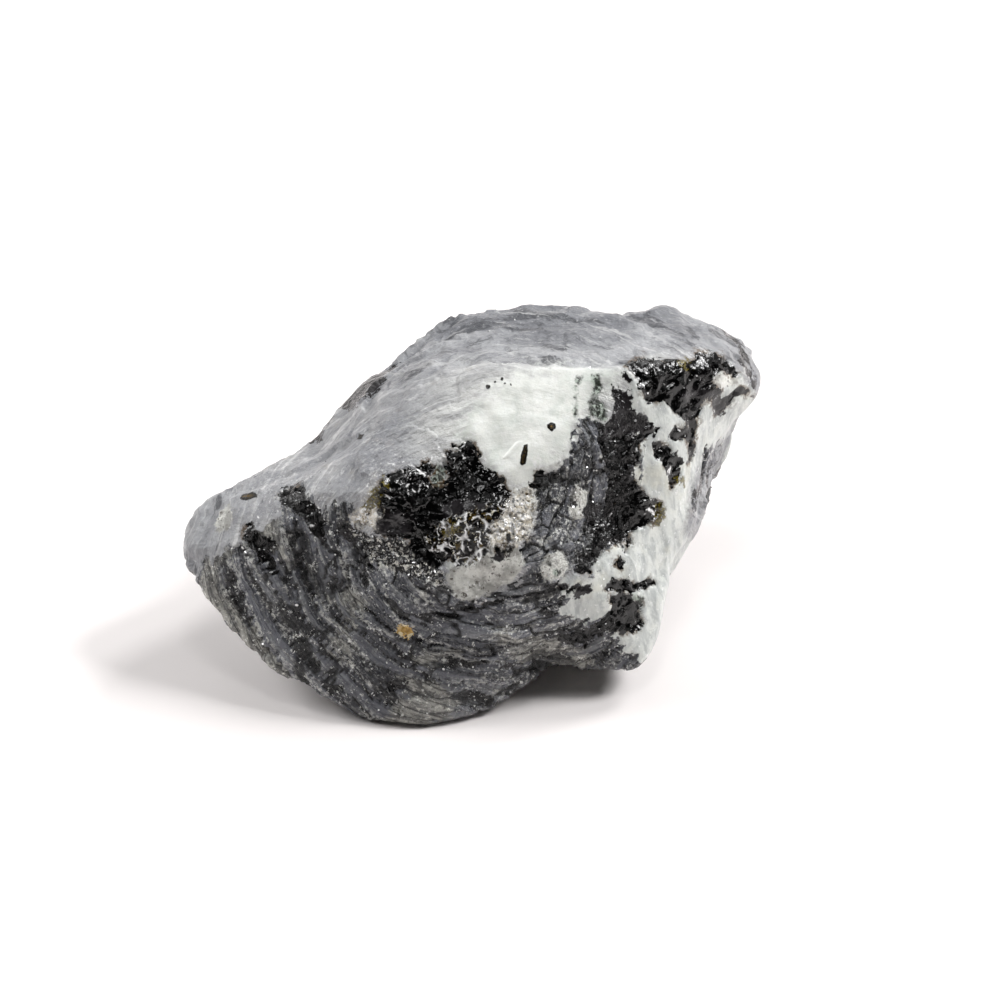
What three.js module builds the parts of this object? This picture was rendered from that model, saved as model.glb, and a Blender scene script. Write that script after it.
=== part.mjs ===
// A raw labradorite: one rough-broken stone, a tapered block of pale feldspar with a dark folded rind.
// Millimetres, +Z up. X runs from the tapered tip to the blunt end, Y from the front face to the back.
// The origin is on the surface that the stone rests on, under the middle of its bounding box.
import * as THREE from "three";
import { ConvexHull } from "three/addons/math/ConvexHull.js";
import { ImprovedNoise } from "three/addons/math/ImprovedNoise.js";

// ---- Driving dimensions, in mm ----
const LENGTH = 63; // overall, along X
const HEART = [7, 19, 14]; // a point deep inside, from which the surface is measured outwards
const GIRTH = [30, 22, 16]; // half-axes of the egg whose points are pushed out to the surface
const FACETS_ALONG_EDGE = 20; // of each of the icosahedron's 30 edges
const ARRIS_WEAR = 0.2; // how far the edges between fracture faces are worn back

// ---- Corners of the fracture faces: [along, back, up] from the front resting point ----
const CORNERS = {
  tip: [
    [-24.6, 14.5, 13.2],
    [-23.6, 17.5, 15.1],
    [-21.5, 9.5, 9],
    [-21.4, 20.2, 16.4],
    [-22.5, 22, 11],
  ],
  frontFoot: [
    [-16.2, 5.6, 5.3],
    [-9.8, 2, 2.6],
    [-4, 0.5, 0],
    [2.2, 0, 0],
    [10, 2.6, 3],
    [16.1, 5, 3.6],
    [25, 6, 3.2],
  ],
  frontBrow: [
    [-18.5, 11, 15.1],
    [-11.5, 13, 21.7],
    [-2.9, 10, 24],
    [4.5, 6, 22.3],
    [12.8, 5, 18.6],
    [20.3, 6, 12.6],
  ],
  crest: [
    [-7.2, 27, 22.6],
    [3.3, 22, 30.5],
    [11.8, 20, 32.6],
    [24.5, 20, 32.6],
    [31.1, 24, 31.2],
    [38, 29, 25.2],
  ],
  backBrow: [
    [-16.1, 23, 17.6],
    [-10.9, 26, 20],
    [-1.8, 35, 26],
    [4.6, 39.5, 27.4],
    [12, 41, 27.8],
    [19.7, 41.5, 27],
    [28.5, 40.5, 28.6],
    [35.5, 35.5, 27.6],
  ],
  bluntEnd: [
    [38.9, 30, 24.2],
    [36, 28.5, 19.5],
    [34.2, 31.5, 14.1],
    [33, 33, 6.6],
    [31.4, 28, 8.5],
    [28, 18, 7.6],
    [27, 10, 5.6],
  ],
  backFoot: [
    [-17, 24, 8],
    [-8, 33, 10],
    [4, 43, 14],
    [19, 46, 14],
    [31, 42, 12],
    [24, 38, 2],
    [10, 38, 0],
  ],
  base: [
    [-10, 12, -0.5],
    [-8, 24, -0.5],
    [6, 34, -0.5],
    [19, 31, -0.5],
  ],
};

// ---- Hollows (rise below zero) and knobs on those faces: middle, reach to each side, rise ----
const SWELLS = {
  backKnob: { at: [27, 38.5, 29], width: 3.4, rise: 0.4 },
  dipBesideKnob: { at: [23, 41, 28], width: 3.2, rise: -3.4 },
  dipPastKnob: { at: [32, 38.5, 29], width: 4, rise: -1.5 },
  dipBehindCrest: { at: [14, 31, 31], width: 6, rise: -0.8 },
  leftShoulder: { at: [-10, 25, 20], width: 7.5, rise: -2.3 },
  saddleBehindTip: { at: [-15, 22, 18], width: 6, rise: -1.3 },
  stepAboveShoulder: { at: [-3, 33, 25], width: 4.5, rise: -0.7 },
  endOfCrest: { at: [36, 32, 28], width: 4.5, rise: 0.6 },
  waistOfBluntEnd: { at: [34.7, 25.5, 18.3], width: 5.5, rise: -2.8 },
  hollowOfBluntEnd: { at: [30.3, 17, 9], width: 6, rise: -2.5 },
  undercutOfFoot: { at: [16, 6, 3], width: 5, rise: -3 },
  pitInBrow: { at: [4, 8, 21.5], width: 7, rise: -1.1 },
  hollowOfRightFace: { at: [21, 10, 19], width: 6, rise: -1 },
  dishUnderBack: { at: [8, 46, 17], width: 9, rise: -2 },
};

// ---- Relief of the broken surface ----
const LUMPS = { size: 8, height: 0.55, octaves: 3 }; // the largest lumps; each octave halves both
const LAYERS = { spacing: 2.6, length: 16, height: 0.35 }; // ridges where folded layers come out
const FOLD_AXIS = { along: 10, up: 29 }; // the layers curve round this line, which runs front to back

const heart = new THREE.Vector3(...HEART);

// The faces of the convex block that the corners span: each outward normal and distance from the heart.
function fractureFaces() {
  const points = Object.values(CORNERS).flat().map((corner) => new THREE.Vector3(...corner));
  return new ConvexHull().setFromPoints(points).faces.map((face) => ({
    normal: face.normal,
    distance: face.constant - face.normal.dot(heart),
  }));
}

// Distance from the heart to the block's surface in one direction, with the arrises worn back a little.
function reach(direction, faces) {
  const reaches = faces
    .map(({ normal, distance }) => distance / normal.dot(direction))
    .filter((distance) => distance > 0);
  const nearest = Math.min(...reaches);
  const wear = reaches.reduce((sum, distance) => sum + Math.exp((nearest - distance) / ARRIS_WEAR), 0);
  return nearest - ARRIS_WEAR * Math.log(wear);
}

// How far the hollows and knobs move the surface in or out at one point.
function swell(point) {
  return Object.values(SWELLS).reduce((sum, { at, width, rise }) => {
    const gap = point.distanceTo(new THREE.Vector3(...at)) / width;
    return sum + rise * Math.exp(-gap * gap);
  }, 0);
}

const noise = new ImprovedNoise();

// Lumps of halving size, from the broad undulation of a fracture down to its hackly grain.
function lumps({ x, y, z }) {
  let height = 0;
  for (let octave = 0; octave < LUMPS.octaves; octave += 1) {
    const fineness = 2 ** octave / LUMPS.size;
    height += (LUMPS.height * noise.noise(x * fineness, y * fineness, z * fineness)) / 2 ** octave;
  }
  return height;
}

// Long sharp-crested ridges that follow the layers round the fold.
function layers({ x, y, z }) {
  const across = Math.hypot(x - FOLD_AXIS.along, z - FOLD_AXIS.up);
  const around = Math.atan2(z - FOLD_AXIS.up, x - FOLD_AXIS.along) * across;
  const wave = noise.noise(across / LAYERS.spacing, around / LAYERS.length, y / LAYERS.length);
  return LAYERS.height * (0.5 - Math.abs(wave)) * 2;
}

// A ball of small triangles, pushed out from the heart to the broken surface and flattened where it rests.
function stoneGeometry() {
  const faces = fractureFaces();
  const geometry = new THREE.IcosahedronGeometry(1, FACETS_ALONG_EDGE);
  const places = geometry.getAttribute("position");
  const girth = new THREE.Vector3(...GIRTH);
  const direction = new THREE.Vector3();
  const point = new THREE.Vector3();
  for (let i = 0; i < places.count; i += 1) {
    direction.fromBufferAttribute(places, i).multiply(girth).normalize();
    point.copy(heart).addScaledVector(direction, reach(direction, faces));
    point.addScaledVector(direction, swell(point) + lumps(point) + layers(point));
    point.z = Math.max(point.z, 0);
    places.setXYZ(i, point.x, point.y, point.z);
  }
  return geometry;
}

// Brings the stone to its overall length and its origin under the middle of its box.
function fitToFrame(geometry) {
  geometry.computeBoundingBox();
  const middle = geometry.boundingBox.getCenter(new THREE.Vector3());
  const size = geometry.boundingBox.getSize(new THREE.Vector3());
  const scale = LENGTH / size.x;
  return geometry.translate(-middle.x, -middle.y, 0).scale(scale, scale, scale);
}

const stone = new THREE.Mesh(
  fitToFrame(stoneGeometry()),
  new THREE.MeshStandardMaterial({ color: 0x8c8d92, roughness: 0.45, metalness: 0 }),
);
stone.name = "stone";

const part = new THREE.Group();
part.add(stone);
export default part;
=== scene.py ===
import itertools
import math
from functools import cached_property, partial, reduce

import bpy
import numpy as np
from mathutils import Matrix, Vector
from mathutils.bvhtree import BVHTree


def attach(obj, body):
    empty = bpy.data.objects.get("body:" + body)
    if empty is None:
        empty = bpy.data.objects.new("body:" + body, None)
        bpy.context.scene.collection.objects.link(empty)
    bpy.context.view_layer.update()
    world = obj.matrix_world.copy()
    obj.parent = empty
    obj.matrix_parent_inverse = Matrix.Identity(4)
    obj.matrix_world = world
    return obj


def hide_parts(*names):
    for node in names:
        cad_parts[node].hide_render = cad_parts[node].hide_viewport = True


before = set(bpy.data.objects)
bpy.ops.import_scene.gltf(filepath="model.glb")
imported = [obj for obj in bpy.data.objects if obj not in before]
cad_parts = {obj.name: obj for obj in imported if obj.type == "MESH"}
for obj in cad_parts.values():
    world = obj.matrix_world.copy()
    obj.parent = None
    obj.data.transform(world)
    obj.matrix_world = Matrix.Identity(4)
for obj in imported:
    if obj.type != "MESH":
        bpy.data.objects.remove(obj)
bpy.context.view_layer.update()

MM = 0.001

# ---- The view: a long lens 35 degrees above the horizon ----
PICTURE = 1000  # pixels on each side of the picture
VIEW_WIDTH = 108.0  # mm of the object's space across the picture, at the aim point
VIEW_DISTANCE = 420.0
VIEW_ELEVATION = math.radians(35)
AIM = np.array([2.78, -3.91, 16.5])
VIEW_RIGHT = np.array([1.0, 0.0, 0.0])
VIEW_IN = np.array([0.0, math.cos(VIEW_ELEVATION), -math.sin(VIEW_ELEVATION)])
VIEW_UP = np.array([0.0, math.sin(VIEW_ELEVATION), math.cos(VIEW_ELEVATION)])
EYE = AIM - VIEW_DISTANCE * VIEW_IN
PIXEL = VIEW_WIDTH / PICTURE  # mm
SENSOR = 36.0
EDGE_OF_VIEW = (-0.3, -0.06)  # how far a place may face away from the camera and take the picture's outlines

# ---- The fine surface ----
CUTS = 99  # parts that each edge of the icosahedron is cut into: 196,020 triangles
CASTING_POINT = np.array([1.0, -7.5, 17.0])  # nearer the front, so that the triangles are finest there
ROUNDING = 2  # subdivisions that round the CAD stone off before the casting
SEED = 7

# ---- Layers: two families of folded sheets, each curving round a line that runs into the picture ----
RIND_FOLD = (505, 480)  # pixels
BODY_FOLD = (500, 620)
RIND_PLATE = [1.4, 8, 6]  # mm across the sheets, along them and into the picture
RIND_STRAND = [0.5, 2.6, 2.6]

# ---- Broken blocks, from the largest: their widths in mm and how far their faces tilt ----
SLAB, CHIP, SPLINTER = (9, 1.0), (3, 1.1), (1.3, 1.1)
FACET = 1.25  # mm, of the black patches
TOOTH = 0.7  # mm, along the edge of the black patches

# ---- Rims and hollows along lines of the picture: their heights and widths in mm ----
LEDGE_HEIGHT, LEDGE_WIDTH = 0.16, 0.35
HOLLOW_DEPTH, HOLLOW_WIDTH = 0.8, 2.6


def disc(x, y, radius):
    """A round outline in the picture."""
    turns = [math.tau * k / 8 for k in range(8)]
    return [(x + radius * math.cos(t), y + radius * math.sin(t)) for t in turns]


# ---- Where the minerals come out, as outlines in the picture's pixels ----
RIND = {
    "rind": [
        (170,600), (196,584), (206,562), (226,552), (236,545), (243,535), (262,530), (276,517), (279,497),
        (290,486), (301,486), (308,498), (322,510), (335,505), (345,504), (354,520), (362,536), (380,537),
        (400,540), (420,568), (440,566), (444,580), (456,596), (480,601), (503,593), (520,579), (527,565),
        (521,548), (532,532), (533,516), (538,500), (532,485), (540,474), (557,472), (566,460), (573,440),
        (580,425), (594,418), (604,424), (613,414), (622,404), (632,410), (645,420), (640,450), (636,500),
        (622,544), (604,554), (595,562), (590,573), (557,577), (575,584), (562,598), (555,613), (575,621),
        (596,620), (610,617), (616,636), (622,652), (640,658), (650,653), (655,690), (400,770), (150,640),
    ],
    "back": [(704,454), (716,445), (726,446), (716,483), (703,503), (694,514), (700,490), (707,470)],
}
PALE_RIND = {
    "left_edge": [
        (186,590), (206,566), (226,553), (221,568), (222,585), (236,610), (262,643), (290,668), (286,680),
        (240,650), (200,600),
    ],
    "strip": [(246,533), (256,518), (272,510), (279,517), (281,540), (290,566), (279,556), (270,536)],
    "left_patch": [
        (336,596), (346,594), (358,597), (373,600), (362,606), (357,613), (355,628), (349,620), (346,608),
    ],
    "fold_crumbs": [(329,640), (345,634), (352,646), (352,660), (341,655)],
    "lens": [(417,660), (437,652), (455,653), (443,659), (425,663)],
    "sole": [
        (402,677), (415,679), (432,684), (448,692), (458,700), (450,713), (432,724), (404,729), (386,722),
        (396,706), (409,696),
    ],
    "foot_patch": [
        (510,660), (512,645), (525,638), (541,636), (554,640), (565,648), (584,647), (577,655), (555,654),
        (528,663),
    ],
    "dome": disc(505, 633, 8),
    "lip_edge": [(540,667), (562,654), (580,658), (600,662), (588,667), (560,662)],
}
BLACK = {
    "big_mass": [
        (375,502), (378,486), (390,474), (404,469), (416,469), (429,462), (436,466), (429,478), (434,490),
        (446,484), (446,470), (447,453), (458,450), (460,445), (473,443), (478,452), (484,468), (495,474),
        (504,481), (512,493), (509,506), (499,521), (485,526), (470,524), (452,522), (446,536), (456,544),
        (449,560), (436,570), (418,566), (406,553), (409,541), (392,538), (376,533), (384,520),
    ],
    "bit": disc(453, 446, 2.2),
    "top_right": [
        (626,365), (643,357), (654,360), (664,360), (674,360), (682,366), (692,361), (694,353), (707,352),
        (721,356), (731,364), (739,371), (734,377), (722,372), (711,375), (712,384), (720,391), (725,403),
        (726,414), (719,418), (713,408), (709,396), (702,400), (701,415), (697,424), (695,437), (692,460),
        (687,463), (689,446), (684,437), (684,420), (676,414), (671,407), (666,403), (650,403), (641,394),
        (639,383), (632,374),
    ],
    "arc": [(724,405), (727,395), (739,386), (748,388), (755,398), (746,395), (736,395), (729,407)],
    "band": [
        (600,428), (614,422), (636,434), (652,432), (648,438), (637,447), (641,455), (635,466), (630,467),
        (632,479), (640,487), (646,495), (656,499), (663,504), (661,515), (652,525), (640,529), (631,533),
        (624,542), (607,549), (591,546), (587,538), (585,527), (595,521), (604,518), (605,494), (607,474),
        (600,460), (597,442),
    ],
    "middle_right": [
        (650,443), (661,440), (668,447), (677,455), (682,462), (681,473), (676,481), (670,487), (666,475),
        (661,464), (655,457),
    ],
    "upper_right": [(671,431), (678,425), (685,428), (685,436), (677,441), (670,437)],
    "knot": disc(657, 430, 2.6),
    "foot": [
        (612,597), (627,593), (636,598), (641,606), (642,616), (643,624), (634,632), (622,635), (614,632),
        (600,634), (587,645), (567,645), (559,640), (557,635), (574,630), (594,624), (606,618), (611,607),
    ],
    "foot_bar": [(606,589), (611,578), (627,581), (641,582), (649,576), (655,582), (647,590), (622,592)],
    "slit": [(624,555), (627,544), (629,538), (632,540), (629,552)],
    "pocket": disc(620, 562, 5),
    "toe": [(576,552), (590,544), (604,548), (596,558), (591,562), (590,573), (578,574)],
    "cluster": [(531,486), (533,474), (541,470), (547,474), (557,471), (562,480), (550,487), (540,491)],
    "cream_blot": [(495,550), (497,541), (507,533), (516,539), (512,548), (504,556)],
    "under_cream": [(462,608), (484,602), (507,599), (500,604), (473,609)],
    "tooth_left": [
        (242,538), (245,526), (252,523), (261,534), (276,540), (279,548), (267,549), (277,566), (281,580),
        (266,566), (251,550),
    ],
    "tooth_right": [
        (278,494), (289,486), (300,485), (305,498), (318,510), (325,521), (322,537), (314,538), (304,522),
        (293,509), (281,506),
    ],
}
SLATE = {
    # painted shade on the right side face
    "back_patch": [(698,494), (702,482), (709,479), (708,490), (701,501)],
    "rind_pit_2": [(497,667), (510,662), (522,664), (510,669)],
    "rind_pit_1": [(389,682), (399,678), (411,681), (405,688), (394,689)],
    "edge_streak_b": [(738,349), (746,362), (756,385), (759,393), (748,380), (741,364)],
    "edge_streak_a": [(722,330), (735,335), (745,348), (753,372), (745,362), (736,345)],
    "strip_high": [(342,412), (330,396), (378,345), (402,346), (392,366), (374,392), (358,408)],
    "strip_low": [(302,444), (296,424), (330,408), (333,420), (318,442)],
    "block": [(375,508), (388,507), (402,512), (411,526), (409,535), (392,534), (374,535)],
    "apron": [(336,530), (348,526), (362,532), (380,537), (366,544), (348,542)],
    "wedge_top": [
        (600,427), (607,422), (613,412), (613,386), (622,388), (631,398), (634,412), (645,418), (656,428),
        (654,436), (640,433), (616,437), (604,442), (598,436),
    ],
    "mass_floor": [(440,505), (470,498), (498,508), (492,520), (470,523), (446,519)],
    "lens": [(571,594), (584,584), (592,583), (590,590), (578,599)],
    "spot_dot": disc(574, 504, 4),
    "rounded": [(583,512), (590,500), (603,505), (600,520), (586,524)],
    "grey_band": [(678,392), (690,388), (706,389), (721,393), (712,399), (694,397), (684,400)],
    "hook": [(711,398), (720,398), (727,411), (725,418), (716,417), (713,408)],
    "thin_line": [(622,371), (625,371), (629,380), (631,394), (628,394), (625,383)],
    "under_blob": [(489,558), (498,551), (508,555), (500,562)],
}
WHITE = {
    "milk": [
        (459,436), (468,415), (484,397), (503,382), (520,371), (560,370), (600,370), (626,372), (611,382),
        (597,380), (590,398), (580,420), (572,441), (562,457), (552,467), (539,471), (528,488), (510,484),
        (498,473), (486,462), (480,447),
    ],
}
PEARL = {
    "blunt_end": [
        (628,371), (634,384), (641,374), (690,368), (722,362), (738,372), (757,396), (746,425), (733,437),
        (724,446), (706,456), (696,476), (690,500), (684,530), (700,560), (664,690), (640,690), (560,640),
        (545,600), (557,578), (588,576), (604,530), (604,420), (624,408), (630,398),
    ],
    "cream_spot": disc(453, 564, 7),
}
GLITTER = {  # dark, crowded with painted highlights
    "under_mass": [(352,530), (376,536), (402,541), (420,566), (446,572), (440,584), (404,574), (372,560)],
}
CRUST = {  # white and tan crumbs
    "crust": [(484,524), (500,520), (514,494), (532,490), (536,506), (528,538), (504,546), (486,542)],
    "crumbs_left": [(352,518), (362,508), (372,490), (380,486), (377,508), (376,528), (362,528)],
}
INCLUSION = {  # small dark grains with clean outlines
    "needle": [(241,497), (257,494), (259,498), (248,503), (242,502)],
    "scratch": [(355,439), (359,434), (365,433), (361,438)],
    "rod": [(520,464), (521,455), (524,445), (528,444), (528,451), (525,464), (522,466)],
    "dot": [(547,425), (551,423), (555,424), (556,429), (552,432), (548,429)],
    "dot_1": disc(488, 387, 2.4),
    "dot_2": disc(495, 382, 1.4),
    "dot_3": disc(505, 384, 1.3),
    "dot_4": disc(502, 379, 1.8),
    "dot_5": disc(511, 385, 1.1),
}
SPARKLE = {  # where the black catches the light
    "upper_left": [
        (380,484), (388,472), (402,466), (430,460), (437,470), (424,484), (404,496), (388,502), (380,496),
    ],
    "tooth_top": [(446,454), (460,443), (474,442), (482,456), (490,472), (476,474), (452,466)],
    "right_shoulder": [(490,470), (506,480), (514,492), (506,500), (498,486)],
    "lower_right": [(448,508), (468,498), (498,500), (506,512), (488,526), (456,524)],
    "top_edge": disc(652, 361, 7),
    "top_bulge": disc(646, 389, 6),
    "top_knob": disc(702, 364, 5),
    "top_dot": disc(696, 378, 4),
    "band_edge": [(641,486), (656,497), (664,508), (654,522), (642,512), (645,500)],
    "toe": disc(586, 551, 6),
    "band_foot": [(592,530), (606,520), (626,528), (630,538), (606,546)],
    "beads": [(632,448), (642,450), (640,462), (632,460)],
    "ring": [(660,456), (676,466), (678,478), (668,474)],
    "left_tooth": disc(300, 495, 6),
    "left_tooth_foot": disc(307, 524, 6),
}
FILM = {  # dark crumbs under painted highlights of a wet film
    "film": [
        (424,538), (434,526), (446,520), (462,512), (484,508), (500,500), (504,508), (492,524), (488,552),
        (476,562), (458,566), (444,556), (430,548),
    ],
}
CREAM = {
    "tip_sparkle": [(214,524), (219,512), (230,505), (236,512), (230,526), (219,533)],
    "pale_green": [(537,568), (546,556), (557,550), (567,557), (570,569), (560,579), (545,580)],
    "inclusion": [
        (443,574), (461,564), (479,559), (484,545), (486,530), (505,520), (513,505), (514,490), (532,486),
        (537,500), (533,516), (531,533), (518,546), (524,566), (511,581), (495,591), (477,598), (464,600),
        (454,593), (447,583),
    ],
    "spotted": [(569,508), (578,487), (589,493), (588,518), (576,521), (570,516)],
    "window": [(709,376), (721,372), (733,371), (738,379), (733,387), (723,386), (717,389), (711,384)],
}
GREEN = {
    "mint_low": disc(556, 573, 4),
    "mint_high": disc(549, 564, 3),
    "pillar": [
        (592,375), (601,374), (602,388), (599,398), (607,408), (606,421), (590,418), (588,404), (593,394),
    ],
    "milk_spots": [(575,377), (581,376), (579,384), (574,420), (577,414)],
    "blob_edge": disc(637, 600, 6),
    "notch": [(431,492), (429,478), (437,466), (446,471), (446,486), (440,494)],
}
OLIVE = {
    "band_rim": [(656,524), (660,504), (664,502), (664,514), (659,523)],
    "right_bit": disc(682, 482, 4),
    "crumb": [(680,363), (688,360), (689,371), (684,371)],
    "left_rim": [(362,506), (372,494), (384,478), (388,486), (380,504), (368,513)],
    "under_film": [(441,531), (450,526), (460,526), (456,533), (446,537)],
}
OCHRE = {
    "spot": [(394,634), (397,626), (405,622), (413,626), (414,634), (404,636)],
}
MIST = {
    "back_face": [
        (330,420), (345,405), (357,404), (389,398), (424,380), (450,363), (481,362), (500,366), (540,368),
        (600,369), (630,372), (650,354), (700,350), (790,380), (760,290), (660,250), (480,250), (385,325),
    ],
    # the right side face: the darker grey, partly painted shade
    "side": [(710,446), (728,440), (724,480), (703,516), (692,506), (704,478)],
    "tip": [(175,600), (190,510), (232,487), (262,490), (250,508), (240,530), (225,556), (200,590)],
}
LEDGES = {  # sharp rims
    "crest": [(484,371), (503,369), (541,371), (580,369), (618,370), (630,378)],
    "shoulder": [(358,403), (389,398), (424,380), (450,363), (477,354), (500,353)],
    "lip": [(507,684), (539,675), (560,661), (590,668), (631,667), (646,654)],
    "white_rib": [(668,540), (664,580), (656,625), (648,652)],
}
HOLLOWS = {  # where the stone is a little slimmer than its CAD shape
    "shoulder": [(398,350), (424,332), (446,318)],
    "side": [(738,432), (728,458), (714,492)],
}
MINERALS = {
    "rind": RIND, "pale_rind": PALE_RIND, "black": BLACK, "slate": SLATE, "white": WHITE, "pearl": PEARL,
    "cream": CREAM, "green": GREEN, "olive": OLIVE, "ochre": OCHRE, "mist": MIST, "glitter": GLITTER,
    "sparkle": SPARKLE, "crust": CRUST, "film": FILM, "inclusion": INCLUSION,
}

# ---- The hidden sides: the same minerals in patches of a noise ----
# Each has its patches' size in mm (across, along and in for the pale rind), the noise's shift, octaves and
# gain, the level above which the mineral comes out, and the steepness of its edge.
HIDDEN_PATCHES = {
    "pale_rind": ([1.5, 6, 6], 70.7, 3, 0.5, 0.5, 3),
    "black": (8, 40.2, 4, 0.6, 0.4, 6),
    "slate": (5, 11.9, 3, 0.5, 0.5, 7),
    "white": (12, 80.4, 3, 0.5, 0.42, 10),
    "pearl": (10, 150.2, 3, 0.5, 0.36, 10),
    "cream": (5, 120, 3, 0.5, 0.5, 7),
    "olive": (3, 33.3, 3, 0.5, 0.66, 3),
    "mist": (14, 60.5, 2, 0.5, 0.05, 10),
}
RIND_TOP = 13  # mm above the floor, on average, where the rind ends on the hidden sides
RIND_WAVES = 14  # mm that its edge rises and falls
NOWHERE = 9.0  # mm from the nearest patch of a mineral that stays off the hidden sides

# ---- Grains set into the surface: how many per mm2, how high they sit, how far they lean, half-sizes ----
CRYSTALS = {"per_mm2": 1.0, "lift": -0.3, "spread": 0.4, "sizes": (0.3, 0.22, 0.38)}
FLAKES = {"per_mm2": 1.3, "lift": 0.02, "spread": 0.5, "sizes": (0.11, 0.08, 0.03)}
FOOT = 1.2  # mm above the floor, below which the relief fades out and no grains are set

rng = np.random.default_rng(SEED)
SHUFFLED = np.tile(rng.permutation(256), 3)
GRADIENTS = rng.normal(size=(256, 3))
GRADIENTS /= np.linalg.norm(GRADIENTS, axis=1, keepdims=True)
JITTERS = rng.random((256, 3))


# ---- Numbers ----
def smooth(low, high, value):
    """0 below low, 1 above high, and an S-curve between."""
    share = np.clip((value - low) / (high - low), 0, 1)
    return share * share * (3 - 2 * share)


def scrambled(cell):
    """A repeatable random number from 0 to 255 for each whole-number place."""
    x, y, z = (cell & 255).T
    return SHUFFLED[SHUFFLED[SHUFFLED[x] + y] + z]


def noise(points):
    """Smooth gradient noise, about -0.8 to 0.8, with features one unit across."""
    cell = np.floor(points).astype(int)
    inside = points - cell
    fade = inside**3 * (inside * (inside * 6 - 15) + 10)
    total = np.zeros(len(points))
    for corner in itertools.product((0, 1), repeat=3):
        weight = np.prod(np.where(corner, fade, 1 - fade), axis=1)
        slope = GRADIENTS[scrambled(cell + corner)]
        total += weight * np.sum((inside - corner) * slope, axis=1)
    return total * 1.4


def fractal(points, octaves=4, gain=0.5):
    """Noise with finer and fainter copies of itself added."""
    return sum(gain**k * noise(points * 2**k + 17.3 * k) for k in range(octaves))


def ridges(points, octaves=3, gain=0.5):
    """Sharp-crested noise, from about -1 in the valleys to 1 on the crests."""
    return sum(gain**k * (1 - 4 * np.abs(noise(points * 2**k + 9.1 * k))) for k in range(octaves)) / 1.75


def blocks(points, tilt):
    """Blocky cells, each a plane tilted its own way: their height, tone and distance from the edge."""
    cell = np.floor(points).astype(int)
    best = np.full(len(points), 9.0)
    second = best.copy()
    height = np.zeros(len(points))
    tone = np.zeros(len(points))
    for step in itertools.product((-1, 0, 1), repeat=3):
        number = scrambled(cell + step)
        away = points - (cell + step + JITTERS[number])
        gap = np.abs(away).max(axis=1)
        nearer = gap < best
        second = np.minimum(second, np.maximum(best, gap))
        best = np.where(nearer, gap, best)
        lean = np.sum(away * GRADIENTS[number], axis=1) * tilt + (JITTERS[number, 0] - 0.5)
        height = np.where(nearer, lean, height)
        tone = np.where(nearer, JITTERS[number, 1], tone)
    return height, tone, second - best


def sheets(place, thickness, length):
    """Overlapping sheets that rise slowly on one side and fall steeply on the other, and pinch out."""
    across = place[:, 0] / thickness
    layer = np.floor(across)
    rise = across - layer
    strength = 1.7 * noise(np.stack([layer * 5.3, place[:, 1] / length, place[:, 2] / length], axis=1))
    peak = np.where(strength > 0, 0.8, 0.2)
    return np.minimum(rise / peak, (1 - rise) / (1 - peak)) * np.abs(strength)


def unit(vectors):
    return vectors / np.linalg.norm(vectors, axis=1, keepdims=True)


# ---- From the object to the picture ----
def to_picture(points):
    """Pixel column and row of each point, as the camera sees it."""
    offset = points - EYE
    scale = PICTURE * VIEW_DISTANCE / VIEW_WIDTH / (offset @ VIEW_IN)
    return PICTURE / 2 + offset @ VIEW_RIGHT * scale, PICTURE / 2 - offset @ VIEW_UP * scale


def path_distance(path, column, row):
    """Distance in mm from a line through points of the picture."""
    near = np.full(len(column), np.inf)
    for (x0, y0), (x1, y1) in zip(path, path[1:]):
        run, drop = x1 - x0, y1 - y0
        along = np.clip(((column - x0) * run + (row - y0) * drop) / (run * run + drop * drop), 0, 1)
        near = np.minimum(near, np.hypot(column - x0 - along * run, row - y0 - along * drop))
    return near * PIXEL


def outline_distance(outline, column, row):
    """Distance in mm from an outline in the picture, below zero inside it."""
    closed = outline + outline[:1]
    inside = np.zeros(len(column), bool)
    for (x0, y0), (x1, y1) in zip(closed, closed[1:]):
        if y1 != y0:
            crosses = (y0 > row) != (y1 > row)
            inside ^= crosses & (column < x0 + (row - y0) * (x1 - x0) / (y1 - y0))
    near = path_distance(closed, column, row)
    return np.where(inside, -near, near)


# ---- The mesh ----
def geodesic_ball(cuts):
    """Unit directions and triangles of an icosahedron whose faces are cut into cuts x cuts triangles."""
    bpy.ops.mesh.primitive_ico_sphere_add(subdivisions=1, radius=1)
    seed_object = bpy.context.object
    corners = np.array([v.co[:] for v in seed_object.data.vertices])
    faces = [tuple(p.vertices) for p in seed_object.data.polygons]
    bpy.data.objects.remove(seed_object)
    rows = [(i, j) for i in range(cuts + 1) for j in range(cuts + 1 - i)]
    index = {place: n for n, place in enumerate(rows)}
    weights = np.array([(cuts - i - j, i, j) for i, j in rows]) / cuts
    cells = [(index[i, j], index[i + 1, j], index[i, j + 1]) for i, j in rows if i + j < cuts]
    cells += [(index[i + 1, j], index[i + 1, j + 1], index[i, j + 1]) for i, j in rows if i + j < cuts - 1]
    points = unit(np.concatenate([weights @ corners[list(face)] for face in faces]))
    triangles = np.concatenate([np.array(cells) + n * len(rows) for n in range(len(faces))])
    _, first, merged = np.unique(points.round(6), axis=0, return_index=True, return_inverse=True)
    return points[first], merged.reshape(-1)[triangles]


def rounded_copy(node):
    """Points and polygons of the CAD stone, smoothed by subdivision, in mm."""
    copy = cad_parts[node].copy()
    bpy.context.scene.collection.objects.link(copy)
    weld = copy.modifiers.new("weld", "WELD")
    weld.merge_threshold = 0.01 * MM
    smoother = copy.modifiers.new("smooth", "SUBSURF")
    smoother.levels = smoother.render_levels = ROUNDING
    mesh = copy.evaluated_get(bpy.context.evaluated_depsgraph_get()).to_mesh()
    points = [v.co / MM for v in mesh.vertices]
    polygons = [tuple(p.vertices) for p in mesh.polygons]
    bpy.data.objects.remove(copy)
    return points, polygons


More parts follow.
